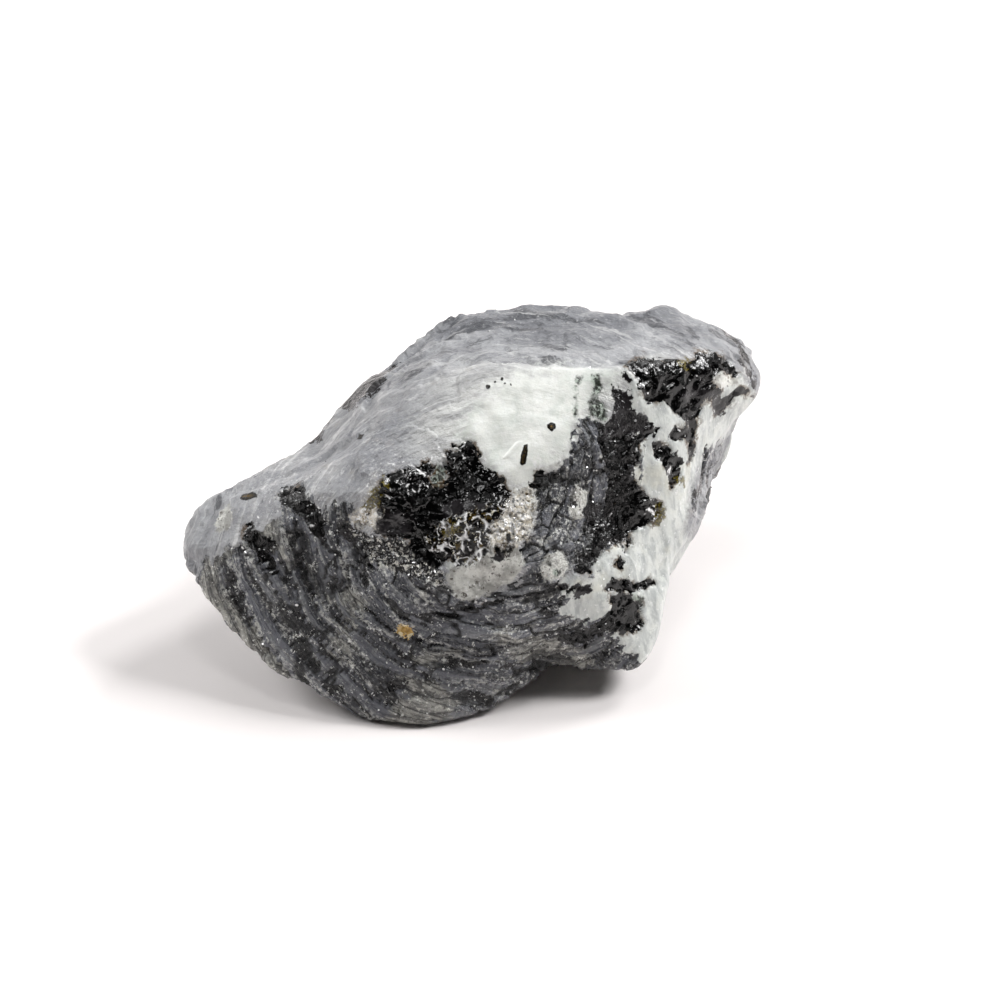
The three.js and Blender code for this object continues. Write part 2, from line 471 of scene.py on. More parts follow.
def cast_surface():
    """The ball's points pushed out along its directions to the rounded CAD stone."""
    directions, triangles = geodesic_ball(CUTS)
    tree = BVHTree.FromPolygons(*rounded_copy("stone"))
    start = Vector(CASTING_POINT)
    hits = [tree.ray_cast(start, Vector(direction))[0] for direction in directions]
    return np.array([hit[:] for hit in hits]), triangles


def normals_and_areas(points, triangles):
    """The unit normal at each point, and the area in mm2 that belongs to it."""
    a, b, c = (points[triangles[:, k]] for k in range(3))
    flat = np.cross(b - a, c - a)
    total = np.zeros_like(points)
    areas = np.zeros(len(points))
    for k in range(3):
        np.add.at(total, triangles[:, k], flat)
        np.add.at(areas, triangles[:, k], np.linalg.norm(flat, axis=1) / 6)
    return unit(total), areas


class Surface:
    """The points of the stone with what the carving and the grains need to know about them."""

    def __init__(self, points, triangles):
        self.points = points
        self.triangles = triangles
        self.normals, _ = normals_and_areas(points, triangles)
        self.column, self.row = to_picture(points)
        facing = np.sum(self.normals * unit(EYE - points), axis=1)
        self.seen = smooth(*EDGE_OF_VIEW, facing)
        self.sway = 1.1 * fractal(points / 10 + 5.5, 2) + 0.14 * fractal(points / 2.4 + 31.2, 2)
        self.rind_fold = self.fold_coordinates(*RIND_FOLD)
        self.body_fold = self.fold_coordinates(*BODY_FOLD)
        self.fields = self.mineral_fields()

    def fold_coordinates(self, column, row):
        """Across the swaying sheets, along them and along the fold line, in mm."""
        level = AIM + (column - PICTURE / 2) * PIXEL * VIEW_RIGHT + (PICTURE / 2 - row) * PIXEL * VIEW_UP
        offset = self.points - level
        right, up = offset @ VIEW_RIGHT, offset @ VIEW_UP
        across = np.hypot(right, up)
        along = np.arctan2(up, right) * across.mean()
        return np.stack([across + self.sway, along, offset @ VIEW_IN], axis=1)

    def path_rim(self, paths, width):
        """1 on a set of lines, falling to 0 a width away, where the camera's side shows them."""
        gap = np.minimum.reduce([path_distance(path, self.column, self.row) for path in paths.values()])
        return np.exp(-((gap / width) ** 2)) * self.seen

    def mineral_fields(self):
        """For each mineral, a distance in mm that is below zero where it comes out at the surface."""
        points = self.points
        hidden = dict.fromkeys(MINERALS, NOWHERE)
        hidden["rind"] = (points[:, 2] - RIND_TOP + RIND_WAVES * fractal(points / 16 + 3.1, 3)) * 0.6
        for name, (size, shift, octaves, gain, level, steepness) in HIDDEN_PATCHES.items():
            place = self.rind_fold if name == "pale_rind" else points
            hidden[name] = (level - fractal(place / size + shift, octaves, gain)) * steepness
        fields = {}
        for name, outlines in MINERALS.items():
            shown = [outline_distance(outline, self.column, self.row) for outline in outlines.values()]
            fields[name] = hidden[name] * (1 - self.seen) + np.minimum.reduce(shown) * self.seen
        _, teeth, _ = blocks(points / TOOTH, 0)
        _, strands, _ = blocks(self.rind_fold / RIND_STRAND, 0)
        fields["black"] += 0.45 * (teeth - 0.5)
        fields["rind"] += 1.3 * (strands - 0.5)
        fields["pale_rind"] += 1.0 * (strands - 0.5)
        return fields

    def inside(self, mineral, softness):
        return smooth(softness, -softness, self.fields[mineral])


# ---- The carving: heights in mm ----
def rind_relief(surface, splinters):
    """Height of the rind's folded layers and plates, with each plate's tone and distance from its edge."""
    place = surface.rind_fold
    plates, tone, edge = blocks(place / RIND_PLATE + 0.25 * noise(surface.points / 2)[:, None], 1.0)
    height = 0.3 * sheets(place, 1.9, 5) + 0.13 * sheets(place, 0.62, 2.2)
    height += 0.16 * ridges(place / [3.4, 12, 10], 2) + 0.08 * splinters
    height += 0.24 * plates + 0.12 - 0.2 * smooth(0.14, 0.02, edge)
    return height, tone, edge


def body_relief(surface, chips):
    """Height of the feldspar's sheets, and of the rougher back."""
    place = surface.body_fold
    broken = 0.16 * sheets(place, 3.2, 9) + 0.05 * sheets(place, 0.9, 3) + 0.05 * chips
    rough = 0.3 * ridges(surface.points / [6, 6, 3.4] + 7.7, 2, 0.45) + 0.1 * chips
    return broken + surface.inside("mist", 0.5) * rough


def carve(surface):
    """Moves the surface in and out along its normals, each mineral in its own way."""
    points = surface.points
    bent = points + 0.8 * np.stack([noise(points / 3 + shift) for shift in (1.7, 22.4, 51.9)], axis=1)
    slabs, chips, splinters = (blocks(bent / width, tilt)[0] for width, tilt in (SLAB, CHIP, SPLINTER))
    facets, _, _ = blocks(points / FACET + 0.25 * noise(points / 1.5)[:, None], 1.2)
    layers, plate_tone, plate_edge = rind_relief(surface, splinters)
    rind = surface.inside("rind", 0.25)
    white = np.maximum(surface.inside("white", 0.6), surface.inside("pearl", 0.6))
    crumbly = np.maximum.reduce([surface.inside(name, 0.3) for name in ("glitter", "crust", "film")])

    height = (0.3 - 0.22 * white) * slabs + 0.08 * (1 - white) * fractal(points / 1.6, 3, 0.6)
    height += (1 - rind) * (1 - 0.8 * white) * body_relief(surface, chips) + rind * (layers - 0.2)
    height += white * (0.1 + 0.09 * fractal(points / 2.6 + 8.8, 2))
    for share, relief in (
        (surface.inside("cream", 0.2), 0.1 + 0.1 * fractal(points / 2.4, 2, 0.5)),
        (surface.inside("slate", 0.2), 0.02 + 0.05 * fractal(points / 1.8, 3)),
        (surface.inside("black", 0.12), 0.26 * facets - 0.14),
        (crumbly, 0.2 * splinters + 0.12 * facets - 0.1),
    ):
        height = height * (1 - share) + share * (0.3 * slabs + relief)
    height += 0.08 * surface.inside("inclusion", 0.08)
    height += LEDGE_HEIGHT * surface.path_rim(LEDGES, LEDGE_WIDTH)
    height -= HOLLOW_DEPTH * surface.path_rim(HOLLOWS, HOLLOW_WIDTH)
    height *= np.maximum(smooth(0, FOOT, points[:, 2]), 0.15)
    moved = points + surface.normals * height[:, None]
    moved[:, 2] = np.maximum(moved[:, 2], 0)
    # relief and gap also steer the rind's colour: painted shade where the layers are low and along the
    # plates' grooves
    surface.fields["relief"] = (layers - 0.35) / 0.45
    surface.fields["tone"] = plate_tone
    surface.fields["gap"] = plate_edge
    return moved


def add_object(name, data):
    piece = bpy.data.objects.new(name, data)
    bpy.context.scene.collection.objects.link(piece)
    return piece


def add_mesh(name, points, faces, **attributes):
    """A new mesh object, with attributes that have a number or a vector for each point."""
    mesh = bpy.data.meshes.new(name)
    mesh.from_pydata((points * MM).tolist(), [], faces.tolist())
    for title, values in attributes.items():
        kind, field = ("FLOAT", "value") if values.ndim == 1 else ("FLOAT_VECTOR", "vector")
        layer = mesh.attributes.new(title, kind, "POINT")
        layer.data.foreach_set(field, values.astype(np.float32).ravel())
    return add_object(name, mesh)


# ---- Grains: six-sided prisms with slanting ends, sunk into the surface ----
def six_sided_prism():
    ring = [(math.cos(math.tau * k / 6), math.sin(math.tau * k / 6)) for k in range(6)]
    points = np.array([(x, y, z) for z in (-1, 1) for x, y in ring])
    faces = [(0, k + 1, k) for k in range(1, 5)] + [(6, k + 6, k + 7) for k in range(1, 5)]
    for k in range(6):
        beside = (k + 1) % 6
        faces += [(k, beside, beside + 6), (k, beside + 6, k + 6)]
    return points, np.array(faces)


def prisms(centres, axes, sizes):
    """Points and faces of one prism at each centre, along its axis, with its half-sizes across and along."""
    shape, faces = six_sided_prism()
    count = len(centres)
    side = unit(np.cross(axes, rng.normal(size=(count, 3))))
    other = np.cross(axes, side)
    local = shape[None] * sizes[:, None]
    lean = rng.normal(scale=0.5, size=(count, 1))
    local[:, 6:, 2] += local[:, 6:, 0] * lean
    placed = centres[:, None]
    for k, direction in enumerate((side, other, axes)):
        placed = placed + local[:, :, k, None] * direction[:, None]
    all_faces = faces[None] + len(shape) * np.arange(count)[:, None, None]
    return placed.reshape(-1, 3), all_faces.reshape(-1, 3)


def scatter(name, surface, carved, weight, per_mm2, lift, spread, sizes):
    """Prisms strewn where weight allows, standing along the normal give or take the spread."""
    normals, areas = normals_and_areas(carved, surface.triangles)
    chance = areas * weight * (carved[:, 2] > FOOT)
    seats = rng.choice(len(carved), int(chance.sum() * per_mm2), p=chance / chance.sum())
    count = len(seats)
    axes = unit(normals[seats] + rng.normal(scale=spread, size=(count, 3)))
    sizes = np.array(sizes) * np.exp(rng.normal(scale=0.35, size=(count, 3)))
    points, faces = prisms(carved[seats] + normals[seats] * lift, axes, sizes)
    return add_mesh(name, points, faces, tone=np.repeat(rng.random(count), len(points) // count))


def add_crystals(surface, carved):
    weight = smooth(-0.15, -0.5, surface.fields["black"]) * (1 - surface.inside("slate", 0.1))
    weight *= 1 - surface.inside("film", 0.1)
    weight *= 0.3 + 0.7 * surface.seen
    return scatter("black_crystals", surface, carved, weight, **CRYSTALS)


def add_flakes(surface, carved):
    clustered = smooth(-0.1, 0.35, noise(surface.points / 2.2 + 14.1))
    weight = (0.03 + surface.inside("rind", 0.2)) * (0.1 + clustered)
    weight *= 1 - surface.inside("white", 0.5)
    weight += 4 * surface.inside("glitter", 0.3) + 3 * surface.inside("crust", 0.3)
    return scatter("mica_flakes", surface, carved, weight, **FLAKES)


def build_stone():
    surface = Surface(*cast_surface())
    carved = carve(surface)
    folds = {"rind_fold": surface.rind_fold, "body_fold": surface.body_fold}
    stone = add_mesh("labradorite_surface", carved, surface.triangles, **surface.fields, **folds)
    stone.data.shade_smooth()
    return stone, add_crystals(surface, carved), add_flakes(surface, carved)


# ---- Shader nodes ----
def linear(level):
    """The amount of light for a screen level from 0 to 255."""
    level /= 255
    return level / 12.92 if level <= 0.04045 else ((level + 0.055) / 1.055) ** 2.4


def screen(tone):
    """A grey or a (red, green, blue) of the screen, from 0 to 255, as the shader wants it."""
    if isinstance(tone, bpy.types.NodeSocket):
        return tone
    levels = [tone] * 3 if isinstance(tone, int) else tone
    return (*[linear(level) for level in levels], 1.0)


class Nodes:
    """Short names for the node types that the materials and the world use."""

    def __init__(self, owner):
        owner.use_nodes = True
        self.tree = owner.node_tree
        self.tree.nodes.clear()

    def add(self, kind, inputs, **settings):
        """The outputs of a new node, with its settings and a value or an output on each input."""
        node = self.tree.nodes.new(kind)
        for name, value in settings.items():
            setattr(node, name, value)
        for name, value in inputs.items():
            if isinstance(value, bpy.types.NodeSocket):
                self.tree.links.new(value, node.inputs[name])
            else:
                node.inputs[name].default_value = value
        return node.outputs

    @cached_property
    def place(self):
        """The point on the object, in mm."""
        return self.scaled(self.add("ShaderNodeTexCoord", {})["Object"], [1 / MM] * 3)

    def attribute(self, name, output="Fac"):
        return self.add("ShaderNodeAttribute", {}, attribute_name=name)[output]

    def math(self, operation, *values):
        return self.add("ShaderNodeMath", dict(enumerate(values)), operation=operation)[0]

    def plus(self, *values):
        return reduce(partial(self.math, "ADD"), values)

    def times(self, *values):
        return reduce(partial(self.math, "MULTIPLY"), values)

    def scaled(self, vector, scale):
        return self.add("ShaderNodeMapping", dict(Vector=vector, Scale=scale))[0]

    def noise(self, vector, scale, detail=4.0, rough=0.55, distortion=0.0, output="Fac"):
        inputs = dict(Vector=vector, Scale=scale, Detail=detail, Roughness=rough, Distortion=distortion)
        return self.add("ShaderNodeTexNoise", inputs)[output]

    def cells(self, vector, scale, output="Color", feature="F1"):
        inputs = dict(Vector=vector, Scale=scale)
        return self.add("ShaderNodeTexVoronoi", inputs, feature=feature)[output]

    def bent(self, vector, scale, amount):
        """The vector, moved about by a noise."""
        wobble = self.noise(vector, scale, 2.0, 0.5, output="Color")
        inputs = {0: wobble, 1: [amount] * 3, 2: vector}
        return self.add("ShaderNodeVectorMath", inputs, operation="MULTIPLY_ADD")[0]

    def off_middle(self, vector, scale, detail, rough=0.5):
        """How far a noise is from its middle value, which it crosses along thin lines."""
        return self.math("ABSOLUTE", self.plus(self.noise(vector, scale, detail, rough), -0.5))

    def ramp(self, value, low, high, start=0.0, end=1.0):
        """An S-curve from start, where the value is low, to end, where it is high."""
        inputs = dict(enumerate((value, low, high, start, end)))
        return self.add("ShaderNodeMapRange", inputs, interpolation_type="SMOOTHSTEP")[0]

    def mix(self, share, under, over):
        """The colour over another one by a share; each is a socket or a colour of the screen."""
        inputs = {0: share, 6: screen(under), 7: screen(over)}
        return self.add("ShaderNodeMix", inputs, data_type="RGBA")[2]

    def layered(self, tone, *layers):
        """A colour under layers (value, low, high, strength, colour), where a layer's colour comes in
        as its value goes from low to high."""
        for value, low, high, strength, over in layers:
            tone = self.mix(self.ramp(value, low, high, 0.0, strength), tone, over)
        return tone

    def blend(self, share, under, over):
        return self.add("ShaderNodeMix", {0: share, 2: under, 3: over}, data_type="FLOAT")[0]

    def bump(self, height, distance):
        inputs = dict(Strength=1.0, Distance=distance * MM, Height=height)
        return self.add("ShaderNodeBump", inputs)[0]

    def finish(self, inputs):
        """Connects a Principled shader with these inputs to the material."""
        shader = self.add("ShaderNodeBsdfPrincipled", inputs)
        self.add("ShaderNodeOutputMaterial", {"Surface": shader[0]})


# ---- The stone's surface ----
# How far each mineral's edge is frayed, and over what distance it fades, in mm.
EDGES = {
    "mist": (3, 0.6), "white": (5, 1.3), "pearl": (3.4, 0.6), "rind": (2.4, 0.12), "pale_rind": (5, 0.4),
    "cream": (2.4, 0.15), "green": (2.4, 0.3), "black": (1.5, 0.05), "slate": (2.4, 0.06),
    "sparkle": (4, 0.3), "crust": (4, 0.5), "film": (3.4, 0.15), "glitter": (4, 0.3),
    "olive": (3, 0.15), "ochre": (3, 0.08), "inclusion": (0.5, 0.04),
}
FILM_OF_COLOUR = 0.85  # the share of the rusty rims and the olive patches over what is under them


class StoneNodes(Nodes):
    """Nodes with the noises that the minerals share and the share of the surface that each one has."""

    def __init__(self, owner):
        super().__init__(owner)
        self.grain = self.noise(self.place, 3.6, 3, 0.75)
        self.sparks = self.noise(self.place, 2.1, 4, 0.75)
        self.crumbs = self.noise(self.place, 1.3, 4, 0.76)
        self.haze = self.noise(self.place, 0.5, 4, 0.65)
        self.clouds = self.noise(self.place, 0.17, 4, 0.6)
        self.rind_flow = self.scaled(self.attribute("rind_fold", "Vector"), (1, 0.2, 0.22))
        self.body_flow = self.scaled(self.attribute("body_fold", "Vector"), (1, 0.2, 0.22))
        self.streaks = self.noise(self.body_flow, 0.5, 6, 0.72, 0.5)
        self.scratches = self.noise(self.body_flow, 3.2, 3, 0.7)
        self.off_line = self.off_middle(self.scaled(self.body_flow, (1, 0.35, 0.35)), 0.6, 2)
        self.fray = self.plus(self.noise(self.place, 1.0, 5, 0.74), -0.5)
        self.flow_fray = self.plus(self.noise(self.rind_flow, 1.0, 5, 0.76), -0.5)
        self.patches = {name: self.patch(name, *edge) for name, edge in EDGES.items()}

    def patch(self, name, fraying, softness):
        """1 inside a mineral's outline and 0 outside, with a frayed edge."""
        fray = self.flow_fray if name == "pale_rind" else self.fray
        return self.ramp(self.plus(self.attribute(name), self.times(fray, fraying)), softness, -softness)

    def painted_glints(self, grains, rarity, share):
        """Painted highlights: bright grains, crowded in places."""
        crowded = self.ramp(self.haze, 0.4, 0.6)
        level = self.plus(rarity, self.times(crowded, -0.1))
        return self.times(self.ramp(self.math("SUBTRACT", grains, level), 0.0, 0.035), share)

    def curls(self, scale, width, rarity, shift):
        """Short bright curls, as wet edges catch the light."""
        moved = self.add("ShaderNodeMapping", dict(Vector=self.place, Location=(shift, 0, 0)))[0]
        pieces = self.ramp(self.noise(moved, 1.1, 2), rarity, rarity + 0.04)
        return self.ramp(self.off_middle(moved, scale, 1), width, 0.0, 0.0, pieces)


def feldspar_tone(n):
    """Pale grey, scratched along the sheets of the body, with a veil near the milk and painted highlights
    near the black.
    """
    dashes = n.noise(n.scaled(n.body_flow, (1, 1.6, 1.6)), 1.4, 4, 0.64)
    to_milk = n.plus(n.attribute("white"), n.times(n.plus(n.clouds, -0.5), 9))
    veil = n.layered(184, (n.streaks, 0.4, 0.58, 1, (226, 227, 223)), (n.scratches, 0.42, 0.34, 0.3, 162))
    return n.layered(
        (139, 140, 143),
        (n.streaks, 0.38, 0.6, 1, (160, 160, 162)),
        (n.off_line, 0.026, 0, n.ramp(n.clouds, 0.42, 0.55, 0, 0.9), 204),
        (n.haze, 0.56, 0.7, 0.5, (164, 159, 154)),
        (n.clouds, 0.55, 0.4, 0.5, (124, 126, 132)),
        (n.scratches, 0.56, 0.64, n.ramp(n.haze, 0.42, 0.54, 0, 0.4), 222),
        (n.scratches, 0.42, 0.34, 0.25, (100, 100, 106)),
        (dashes, 0.62, 0.66, 0.6, (84, 84, 90)),
        (n.grain, 0.57, 0.68, 0.4, 214),
        (to_milk, 6.8, 0.5, 0.76, veil),
        # painted highlights: bright specks near the black
        (n.sparks, 0.6, 0.63, n.ramp(n.attribute("black"), 3.0, 0.3, 0, 0.9), 240),
    )


def mist_tone(n):
    """The darker grey of the back and the tip, with lens-shaped dark flecks."""
    flecks = n.noise(n.scaled(n.body_flow, (1.2, 1.3, 1.3)), 0.5, 5, 0.68)
    return n.layered(
        (124, 125, 129),
        (n.streaks, 0.4, 0.6, 1, (150, 151, 154)),
        (n.clouds, 0.48, 0.6, 0.6, (168, 169, 172)),
        (n.attribute("mist"), -1.8, -4.6, 0.6, (98, 100, 106)),
        (flecks, 0.54, 0.6, 0.85, (66, 68, 73)),
        (n.scratches, 0.57, 0.64, 0.3, 200),
        (n.scratches, 0.42, 0.34, 0.3, 80),
        (n.off_line, 0.026, 0, n.ramp(n.streaks, 0.45, 0.55, 0, 0.63), 196),
        (n.sparks, 0.62, 0.66, 0.5, 212),
        (n.grain, 0.58, 0.68, 0.25, 80),
    )


def milk_tone(n):
    """Milky white, with faint grey-green clouds, and painted highlights as wet strokes near the black."""
    near_black = n.ramp(n.attribute("black"), 2.4, 0.4)
    return n.layered(
        (210, 216, 209),
        (n.clouds, 0.36, 0.6, 1, (238, 240, 235)),
        (n.haze, 0.48, 0.64, 0.65, (246, 247, 243)),
        # painted highlights: wet strokes near the black
        (n.off_middle(n.place, 0.55, 2), 0.035, 0, n.ramp(n.haze, 0.47, 0.54, 0, near_black), 252),
        (n.grain, 0.6, 0.74, 0.35, (164, 170, 164)),
    )


def pearl_tone(n):
    """Greyer white of the blunt end, faintly veined along its height."""
    upright = n.noise(n.scaled(n.place, (1, 1, 0.22)), 0.9, 5, 0.68, 0.5)
    return n.layered(
        (176, 180, 179),
        (upright, 0.36, 0.62, 1, (214, 217, 213)),
        (n.haze, 0.5, 0.64, 0.7, (226, 228, 223)),
        (n.clouds, 0.56, 0.7, 0.35, (196, 192, 172)),
        (n.grain, 0.62, 0.7, 0.4, (120, 124, 120)),
        (n.sparks, 0.62, 0.66, 1, 240),
    )


def rind_tone(n):
    """Dark slate plates with light lips and black cracks between them, gritty or dusty in places, with
    painted highlights, and painted shade in the relief's low parts and the plates' grooves.
    """
    flow = n.rind_flow
    grit = n.sparks
    slivers = n.bent(n.scaled(flow, (2.2, 2.6, 2.6)), 1.2, 0.25)
    to_edge, to_fine_edge = (
        n.cells(plates, 1.0, "Distance", "DISTANCE_TO_EDGE") for plates in (n.bent(flow, 0.7, 0.4), slivers)
    )
    streaks = n.noise(flow, 2.6, 3, 0.65, 0.2)
    strands = n.noise(n.scaled(flow, (1, 0.5, 0.5)), 1.1, 4, 0.62)
    broken = n.ramp(n.noise(flow, 0.8, 5, 0.7), 0.45, 0.56)
    gritty = n.times(n.ramp(grit, 0.45, 0.53), broken)
    slate = n.layered(
        (52, 54, 60),
        (n.attribute("tone"), 0.1, 0.9, 1, (104, 106, 113)),
        (strands, 0.52, 0.6, 0.6, (136, 138, 141)),
        (strands, 0.47, 0.39, 0.6, (34, 35, 40)),
    )
    coarse = n.layered(26, (grit, 0.4, 0.48, 1, 92), (grit, 0.53, 0.58, 1, (202, 201, 194)))
    dark = n.layered(
        slate,
        (streaks, 0.54, 0.64, 0.35, (136, 136, 134)),
        (streaks, 0.43, 0.35, 0.45, 34),
        (grit, 0.57, 0.62, 0.55, 168),
        (grit, 0.42, 0.36, 0.45, 30),
        (to_fine_edge, 0.17, 0.07, n.times(gritty, 0.9), 172),
        (to_edge, 0.12, 0.05, gritty, (196, 196, 191)),
        (to_edge, 0.05, 0.015, n.times(broken, 0.25), 14),
        (n.noise(flow, 0.5, 5, 0.72, 0.3), 0.56, 0.62, 0.7, coarse),
        (n.noise(flow, 0.42, 3, 0.6), 0.5, 0.56, 0.75, slate),
        # black cracks along the carved plates' edges, partly painted shade in their grooves
        (n.attribute("gap"), 0.1, 0.03, 0.85, 12),
        # painted shade where the layers' relief is low
        (n.attribute("relief"), -0.4, -1.05, 0.85, 12),
    )
    light = n.layered(
        (112, 112, 110),
        (streaks, 0.4, 0.6, 1, (164, 163, 157)),
        (grit, 0.53, 0.6, 0.8, (196, 194, 186)),
        (grit, 0.42, 0.36, 0.7, (52, 47, 38)),
        (to_edge, 0.08, 0.02, 0.7, 40),
    )
    dusty = n.ramp(n.noise(flow, 0.6, 5, 0.74, 0.3), 0.62, 0.67, 0, 0.6)
    tone = n.mix(n.math("MAXIMUM", dusty, n.patches["pale_rind"]), dark, light)
    # painted highlights: bright grains over the rind
    return n.mix(n.painted_glints(grit, 0.69, 1.0), tone, (232, 232, 228))


def cream_tone(n):
    """Clouded grey-beige with brown crumbs."""
    return n.layered(
        (156, 155, 150),
        (n.haze, 0.38, 0.6, 1, (218, 218, 212)),
        (n.sparks, 0.6, 0.64, 0.8, 240),
        (n.crumbs, 0.585, 0.62, 0.9, (54, 44, 30)),
        (n.grain, 0.6, 0.68, 0.4, 90),
    )


def green_tone(n):
    """Dark green threads that stand in pale grey-green."""
    upright = n.noise(n.scaled(n.place, (1.5, 1.5, 0.4)), 1.0, 5, 0.7)
    return n.layered((170, 180, 170), (upright, 0.44, 0.5, 1, (26, 32, 22)))


def black_tone(n):
    """Near black, with painted highlights towards its edge, and painted curls and grains of light where it
    sparkles.
    """
    night = n.layered(2, (n.haze, 0.54, 0.64, 1, (16, 14, 15)))
    # painted highlights, more of them towards the edge
    towards_edge = n.ramp(n.attribute("black"), -2.0, -0.5, 0.0, 0.05)
    night = n.mix(n.painted_glints(n.plus(n.sparks, towards_edge), 0.77, 1.0), night, 250)
    # painted highlights of a wet surface: bright curls and grains
    wet = n.math("MAXIMUM", n.curls(0.6, 0.04, 0.54, 57.0), n.ramp(n.sparks, 0.61, 0.63))
    return n.mix(n.times(wet, n.patches["sparkle"]), night, 252)


def slate_tone(n):
    """Smooth dark grey with few painted highlights."""
    shale = n.layered((22, 20, 21), (n.haze, 0.35, 0.7, 1, (50, 48, 50)))
    return n.mix(n.painted_glints(n.sparks, 0.74, 0.8), shale, 214)


def crust_tone(n):
    """White and tan crumbs with dark pits."""
    return n.layered(
        (58, 46, 28),
        (n.crumbs, 0.36, 0.44, 1, (190, 180, 160)),
        (n.crumbs, 0.44, 0.54, 1, (238, 234, 226)),
        (n.sparks, 0.54, 0.58, 1, 252),
    )


def crumbs_and_painted_wet_highlights(n, night):
    """Black and olive crumbs under painted highlights of a wet film: white curls."""
    olive_crumbs = (n.crumbs, 0.54, 0.62, 1, (78, 64, 26))
    tone = n.layered(night, olive_crumbs, (n.sparks, 0.6, 0.63, 1, (226, 220, 200)))
    # painted highlights: white curls of a wet film
    tone = n.mix(n.curls(0.55, 0.07, 0.47, 0.0), tone, 254)
    return n.mix(n.curls(0.8, 0.055, 0.52, 31.0), tone, 252)


def inclusion_tone(n):
    """Brown-black grains with a dark body, and a golden heart in the widest ones."""
    depth = n.attribute("inclusion")
    rim = n.layered((20, 16, 9), (n.sparks, 0.4, 0.55, 1, (60, 49, 27)))
    body = n.mix(n.ramp(depth, -0.1, -0.24), (16, 12, 6), rim)
    return n.layered(body, (depth, -0.26, -0.36, 1, (150, 118, 58)))


def stone_tone(n):
    """The minerals over the feldspar, each one over those before it."""
    night = black_tone(n)
    near_black = n.ramp(n.plus(n.attribute("black"), n.times(n.fray, 2.6)), 0.4, 0.1)
    off_rind = n.math("SUBTRACT", 1.0, n.patches["rind"])
    rim = n.times(near_black, n.ramp(n.haze, 0.45, 0.55), off_rind, FILM_OF_COLOUR)
    olive = n.times(n.patches["olive"], FILM_OF_COLOUR)
    minerals = {
        "mist": mist_tone(n),
        "white": milk_tone(n),
        "pearl": pearl_tone(n),
        "rind": rind_tone(n),
        "cream": cream_tone(n),
        "green": green_tone(n),
        "rim": (80, 58, 24),
        "black": night,
        "slate": slate_tone(n),
        "crust": crust_tone(n),
        "film": crumbs_and_painted_wet_highlights(n, night),
        # painted highlights: bright flecks on black
        "glitter": n.layered(16, (n.sparks, 0.54, 0.58, 1, (230, 227, 218))),
        "olive": n.layered((34, 28, 12), (n.grain, 0.4, 0.6, 1, (118, 106, 34))),
        "ochre": n.layered((212, 172, 100), (n.cells(n.place, 2.2), 0.3, 0.7, 1, (248, 234, 194))),
        "inclusion": inclusion_tone(n),
    }
    shares = {**n.patches, "rim": rim, "olive": olive}
    tone = feldspar_tone(n)
    for name, mineral in minerals.items():
        tone = n.mix(shares[name], tone, mineral)
    return tone


def stone_relief(n):
    """The finest relief, in mm: streaks along the layers, ripples and small pits, faint on the milk."""
    in_black, in_rind = (n.ramp(n.attribute(name), 0.3, -0.3) for name in ("black", "rind"))
    in_white = n.ramp(n.math("MINIMUM", n.attribute("white"), n.attribute("pearl")), 2.0, -1.0)
    on_body = n.math("SUBTRACT", 1.0, n.math("MAXIMUM", in_black, in_rind))
    on_stone = n.blend(in_white, 0.22, 0.06)
    rind_streaks, body_streaks, ripples = (
        n.plus(n.noise(vector, scale, 3, 0.7), -0.5)
        for vector, scale in ((n.rind_flow, 2.4), (n.body_flow, 1.6), (n.place, 1.7))
    )
    pits = n.plus(n.cells(n.place, 1.2, "Distance"), -0.4)
    return n.plus(
        n.times(rind_streaks, in_rind, 0.5),
        n.times(body_streaks, on_body, n.blend(in_white, 0.22, 0.04)),
        n.times(ripples, n.blend(in_black, on_stone, 0.07)),
        n.times(pits, n.blend(n.math("MAXIMUM", in_white, in_black), 0.14, 0.02)),
    )


def stone_material(material):
    n = StoneNodes(material)
    dark = n.math("MAXIMUM", n.patches["black"], n.patches["slate"])
    milky = n.math("MAXIMUM", n.patches["white"], n.patches["pearl"])
    rough = n.blend(dark, n.blend(n.patches["white"], n.blend(n.patches["rind"], 0.34, 0.22), 0.24), 0.09)
    n.finish({
        "Base Color": stone_tone(n),
        "Roughness": n.plus(rough, n.times(n.plus(n.crumbs, -0.5), n.blend(dark, 0.3, 0.08))),
        "Normal": n.bump(stone_relief(n), 1.0),
        "Subsurface Weight": n.times(milky, n.math("SUBTRACT", 1.0, dark), 0.25),
        "Subsurface Radius": (1.0, 0.95, 0.85),
        "Subsurface Scale": 1.2 * MM,
        "IOR": 1.5,
    })


# ---- The other materials ----
def crystal_material(material):
    """Black glossy hornblende with rust and small painted highlights on it."""
    n = Nodes(material)
    scratches = n.noise(n.scaled(n.place, (1, 1, 4)), 4.0, 5, 0.7)
    n.finish({
        "Base Color": n.layered(
            n.mix(n.attribute("tone"), 3, 14),
            (n.noise(n.place, 0.5, 5, 0.7), 0.6, 0.7, 0.6, (50, 40, 20)),
            # painted highlights: small bright grains
            (n.noise(n.place, 2.3, 5, 0.72), 0.66, 0.68, 1, 244),
        ),
        "Roughness": n.plus(0.12, n.times(n.noise(n.place, 1.5), 0.25)),
        "Normal": n.bump(scratches, 0.12),
        "IOR": 1.35,
    })


def flake_material(material):
    """Small mica flakes: dark mirrors that flash where they face a light."""
    n = Nodes(material)
    n.finish({
        "Base Color": n.mix(n.attribute("tone"), 110, 214),
        "Metallic": 0.85,
        "Roughness": n.plus(0.2, n.times(n.noise(n.place, 2.0, 3), 0.2)),
        "Normal": n.bump(n.noise(n.place, 5.0), 0.06),
    })


def floor_material(material):
    """Plain matt paper."""
    Nodes(material).finish({"Base Color": FLOOR_TONE, "Roughness": 0.95})


def cover(piece, name, dress):
    """Puts a new material on a piece, made by the dress function."""
    material = bpy.data.materials.new(name)
    dress(material)
    piece.data.materials.append(material)


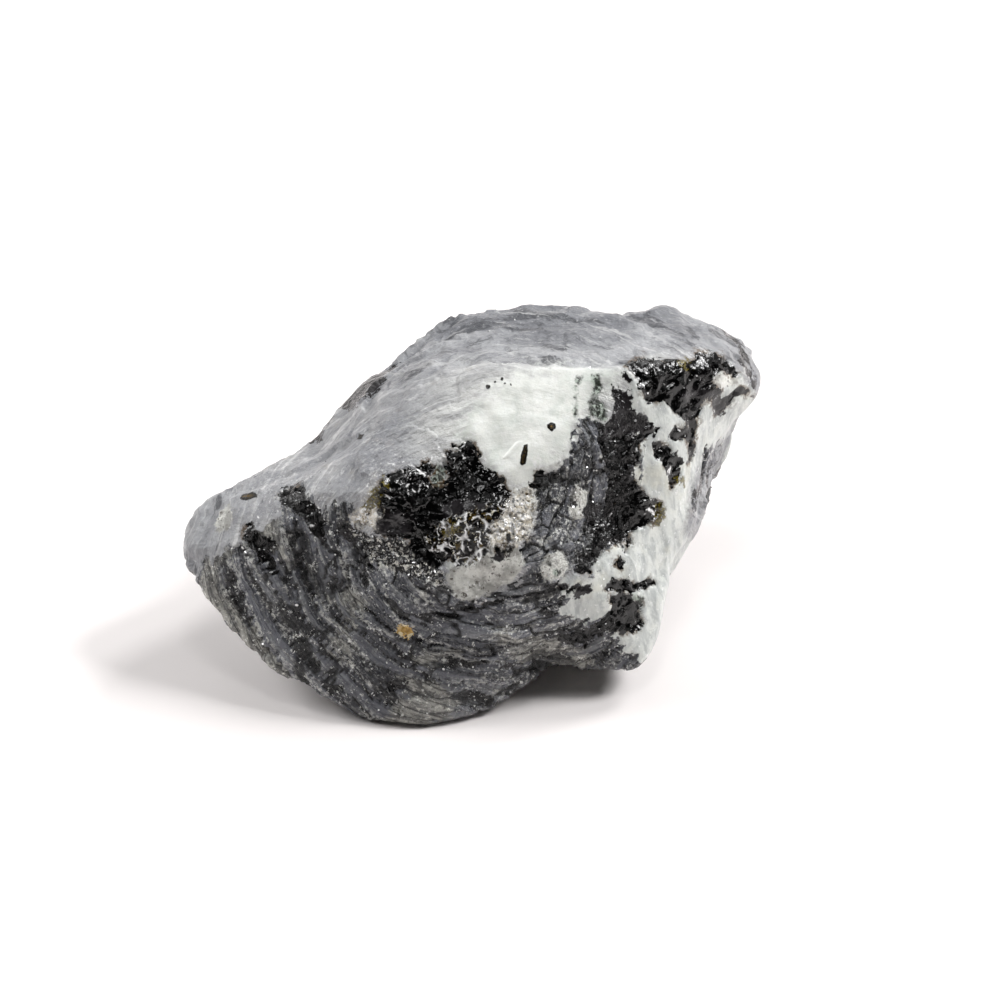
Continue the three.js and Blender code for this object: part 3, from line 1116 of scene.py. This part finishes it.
# ---- The studio ----
# Where each light stands and how wide it is, in metres, and its power in watts.
LIGHTS = {
    "softbox": ((1.2, 0.2, 1.2), 0.55, 22.6),
    "window": ((-1.3, 0.3, 1.1), 0.9, 18.6),
    "rim_light": ((0.9, 0.9, 1.1), 0.5, 10.8),
    "back_light": ((0.0, 1.5, 0.8), 0.8, 2.7),
    "overhead": ((0.0, -0.2, 1.58), 0.36, 1.8),
}
SPARKS = {"left": (-0.35, -0.3, 0.62), "right": (0.3, -0.4, 0.62), "high": (0.05, -0.1, 0.8)}
SPARK_AIM = (0, 0, 0.015)
SPARK_SIZE = 0.014
SPARK_POWER = 0.04
FLOOR_SIZE = 6.0
FLOOR_TONE = (0.95, 0.91, 0.9, 1)
ROOM_TONE = (1.0, 0.985, 0.975, 1)
DARK_ROOM, BRIGHT_ROOM = 0.02, 0.3


def build_floor():
    bpy.ops.mesh.primitive_plane_add(size=FLOOR_SIZE)
    floor = bpy.context.object
    floor.name = "floor"
    cover(floor, "white_paper", floor_material)


def add_light(name, place, aim, size, power):
    data = bpy.data.lights.new(name, "AREA")
    data.shape = "DISK"
    data.size = size
    data.energy = power
    light = add_object(name, data)
    light.location = place
    light.rotation_euler = (Vector(aim) - Vector(place)).to_track_quat("-Z", "Y").to_euler()


def build_world():
    """A white room, dark on the side where the camera stands."""
    world = bpy.data.worlds.new("studio")
    n = Nodes(world)
    direction = n.add("ShaderNodeTexCoord", {})["Generated"]
    split = n.add("ShaderNodeSeparateXYZ", {0: direction})
    back_and_up = n.math("MULTIPLY_ADD", split["Z"], 0.25, split["Y"])
    strength = n.ramp(back_and_up, -0.15, 0.25, DARK_ROOM, BRIGHT_ROOM)
    room = n.add("ShaderNodeBackground", {"Color": ROOM_TONE, "Strength": strength})
    n.add("ShaderNodeOutputWorld", {"Surface": room[0]})
    bpy.context.scene.world = world


def build_studio():
    build_world()
    bpy.context.scene.view_settings.view_transform = "Standard"
    for name, (place, size, power) in LIGHTS.items():
        add_light(name, place, (0, 0, 0), size, power)
    for name, place in SPARKS.items():
        add_light("spark_" + name, place, SPARK_AIM, SPARK_SIZE, SPARK_POWER)


def build_camera():
    data = bpy.data.cameras.new("camera")
    data.sensor_width = SENSOR
    data.lens = SENSOR * VIEW_DISTANCE / VIEW_WIDTH
    camera = add_object("camera", data)
    camera.location = EYE * MM
    camera.rotation_euler = (math.pi / 2 - VIEW_ELEVATION, 0, 0)
    bpy.context.scene.camera = camera


build_camera()
build_studio()
build_floor()
stone, crystals, flakes = build_stone()
cover(stone, "labradorite", stone_material)
cover(crystals, "hornblende", crystal_material)
cover(flakes, "mica", flake_material)
for piece in (stone, crystals, flakes):
    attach(piece, "root")
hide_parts("stone")
